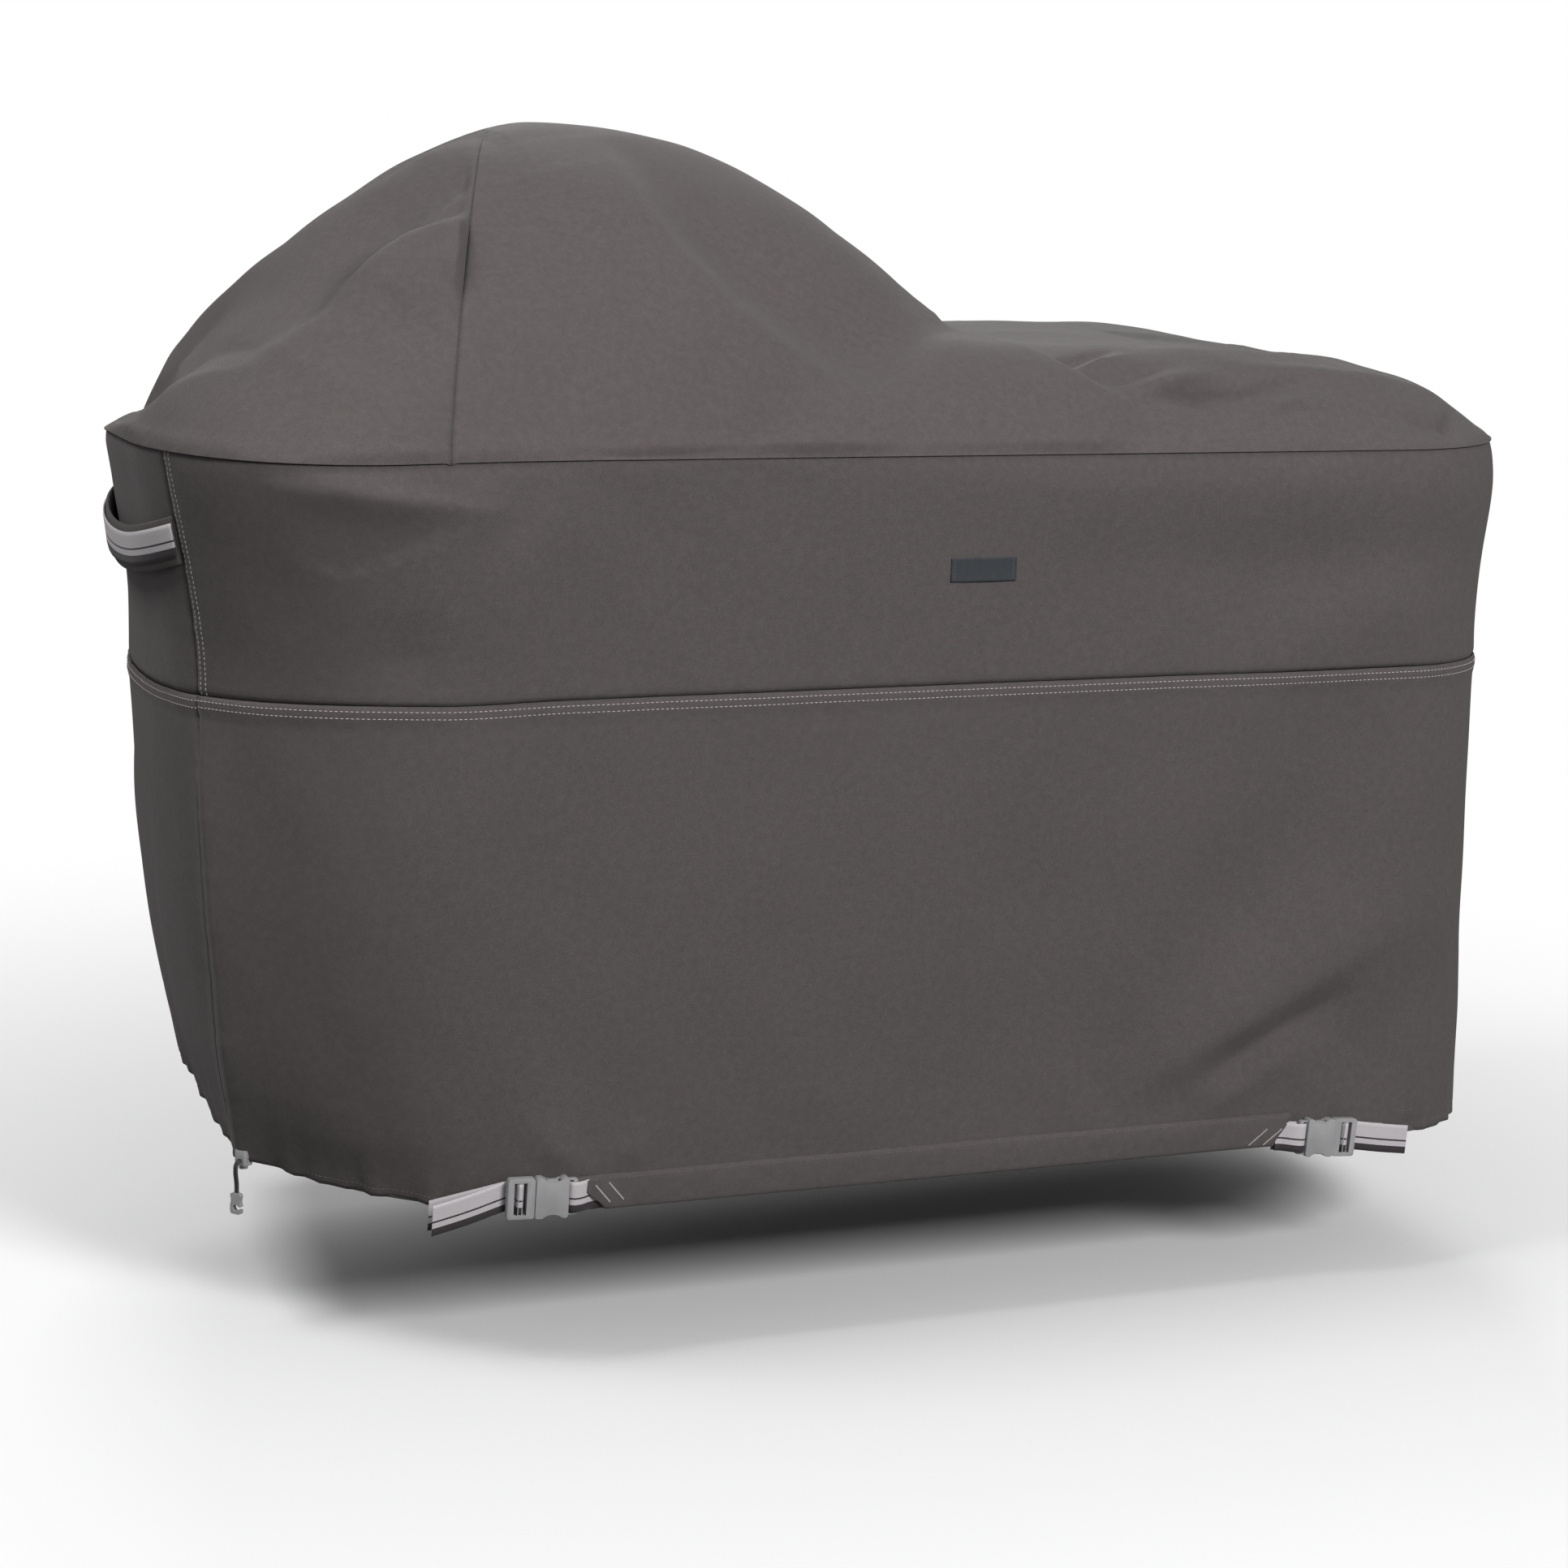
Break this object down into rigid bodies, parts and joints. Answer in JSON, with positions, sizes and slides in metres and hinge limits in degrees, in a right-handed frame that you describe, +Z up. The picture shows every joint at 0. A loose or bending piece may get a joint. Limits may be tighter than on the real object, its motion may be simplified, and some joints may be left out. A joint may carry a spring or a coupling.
{
  "type": "grill cover",
  "caption": "Fitted fabric cover for a kettle grill on a cart, with a dome, a table end, padded carry handles, a drawcord hem with a cord lock and side-release leg straps.",
  "frame": {"origin": "on the inner face of the crown, on the dome seam and the middle of the depth, where the cover sits on the grill's lid", "axes": "+X along the front to the table end, +Y from the front to the back, +Z up"},
  "size_m": [1.5422, 0.7697, 1.0955],
  "materials": {
    "cover_cloth": "matte fine twill",
    "striped_webbing": "woven with dark stripes",
    "elastic_cord": "matte braided sheath",
    "label_weave": "matte woven",
    "buckle_plastic": "satin moulded",
    "spring_steel": "drawn wire"
  },
  "bodies": {
    "cover": {"crown_left_panel": "cover_cloth", "crown_main_panel": "cover_cloth", "upper_front_panel": "cover_cloth", "upper_left_panel": "cover_cloth", "upper_back_panel": "cover_cloth", "lower_front_panel": "cover_cloth", "lower_left_panel": "cover_cloth", "lower_back_panel": "cover_cloth", "hem_facing": "cover_cloth", "hem_drawcord": "elastic_cord", "front_channel": "cover_cloth", "label_patch": "label_weave", "left_handle_pad": "cover_cloth", "left_handle_webbing": "striped_webbing", "right_handle_pad": "cover_cloth", "right_handle_webbing": "striped_webbing", "left_anchor_strap": "striped_webbing", "left_tail_strap": "striped_webbing", "left_buckle_housing": "buckle_plastic", "left_buckle_frame": "buckle_plastic", "right_anchor_strap": "striped_webbing", "right_tail_strap": "striped_webbing", "right_buckle_housing": "buckle_plastic", "right_buckle_frame": "buckle_plastic", "cord_lock_barrel": "buckle_plastic", "cord_lock_spring": "spring_steel", "cord_tail_a": "elastic_cord", "cord_tail_b": "elastic_cord", "cord_end_clip": "buckle_plastic"},
    "left_upper_catch": {"left_upper_prong": "buckle_plastic"},
    "left_lower_catch": {"left_lower_prong": "buckle_plastic"},
    "right_upper_catch": {"right_upper_prong": "buckle_plastic"},
    "right_lower_catch": {"right_lower_prong": "buckle_plastic"},
    "lock_button": {"cord_lock_button": "buckle_plastic"}
  },
  "joints": [
    {"name": "left_upper_catch_press", "type": "hinge", "parent": "cover", "child": "left_upper_catch", "pos_m": [-0.06416, -0.37679, -1.02529], "axis": [0.0989, 0.9931, 0.0631], "range_deg": [0, 9], "stiffness_Nm_per_rad": 0.3},
    {"name": "left_lower_catch_press", "type": "hinge", "parent": "cover", "child": "left_lower_catch", "pos_m": [-0.06439, -0.37537, -1.04724], "axis": [-0.0989, -0.9931, -0.0631], "range_deg": [0, 9], "stiffness_Nm_per_rad": 0.3},
    {"name": "right_upper_catch_press", "type": "hinge", "parent": "cover", "child": "right_upper_catch", "pos_m": [0.86816, -0.38382, -1.04251], "axis": [0.0001, -0.9999, 0.0158], "range_deg": [0, 9], "stiffness_Nm_per_rad": 0.3},
    {"name": "right_lower_catch_press", "type": "hinge", "parent": "cover", "child": "right_lower_catch", "pos_m": [0.8665, -0.38417, -1.06444], "axis": [-0.0001, 0.9999, -0.0158], "range_deg": [0, 9], "stiffness_Nm_per_rad": 0.3},
    {"name": "cord_lock_press", "type": "slide", "parent": "cover", "child": "lock_button", "axis": [0, 0, 1], "range_m": [0, 0.003], "stiffness_N_per_m": 1500, "springref_m": -0.002, "deforming": ["cord_lock_spring"]}
  ]
}
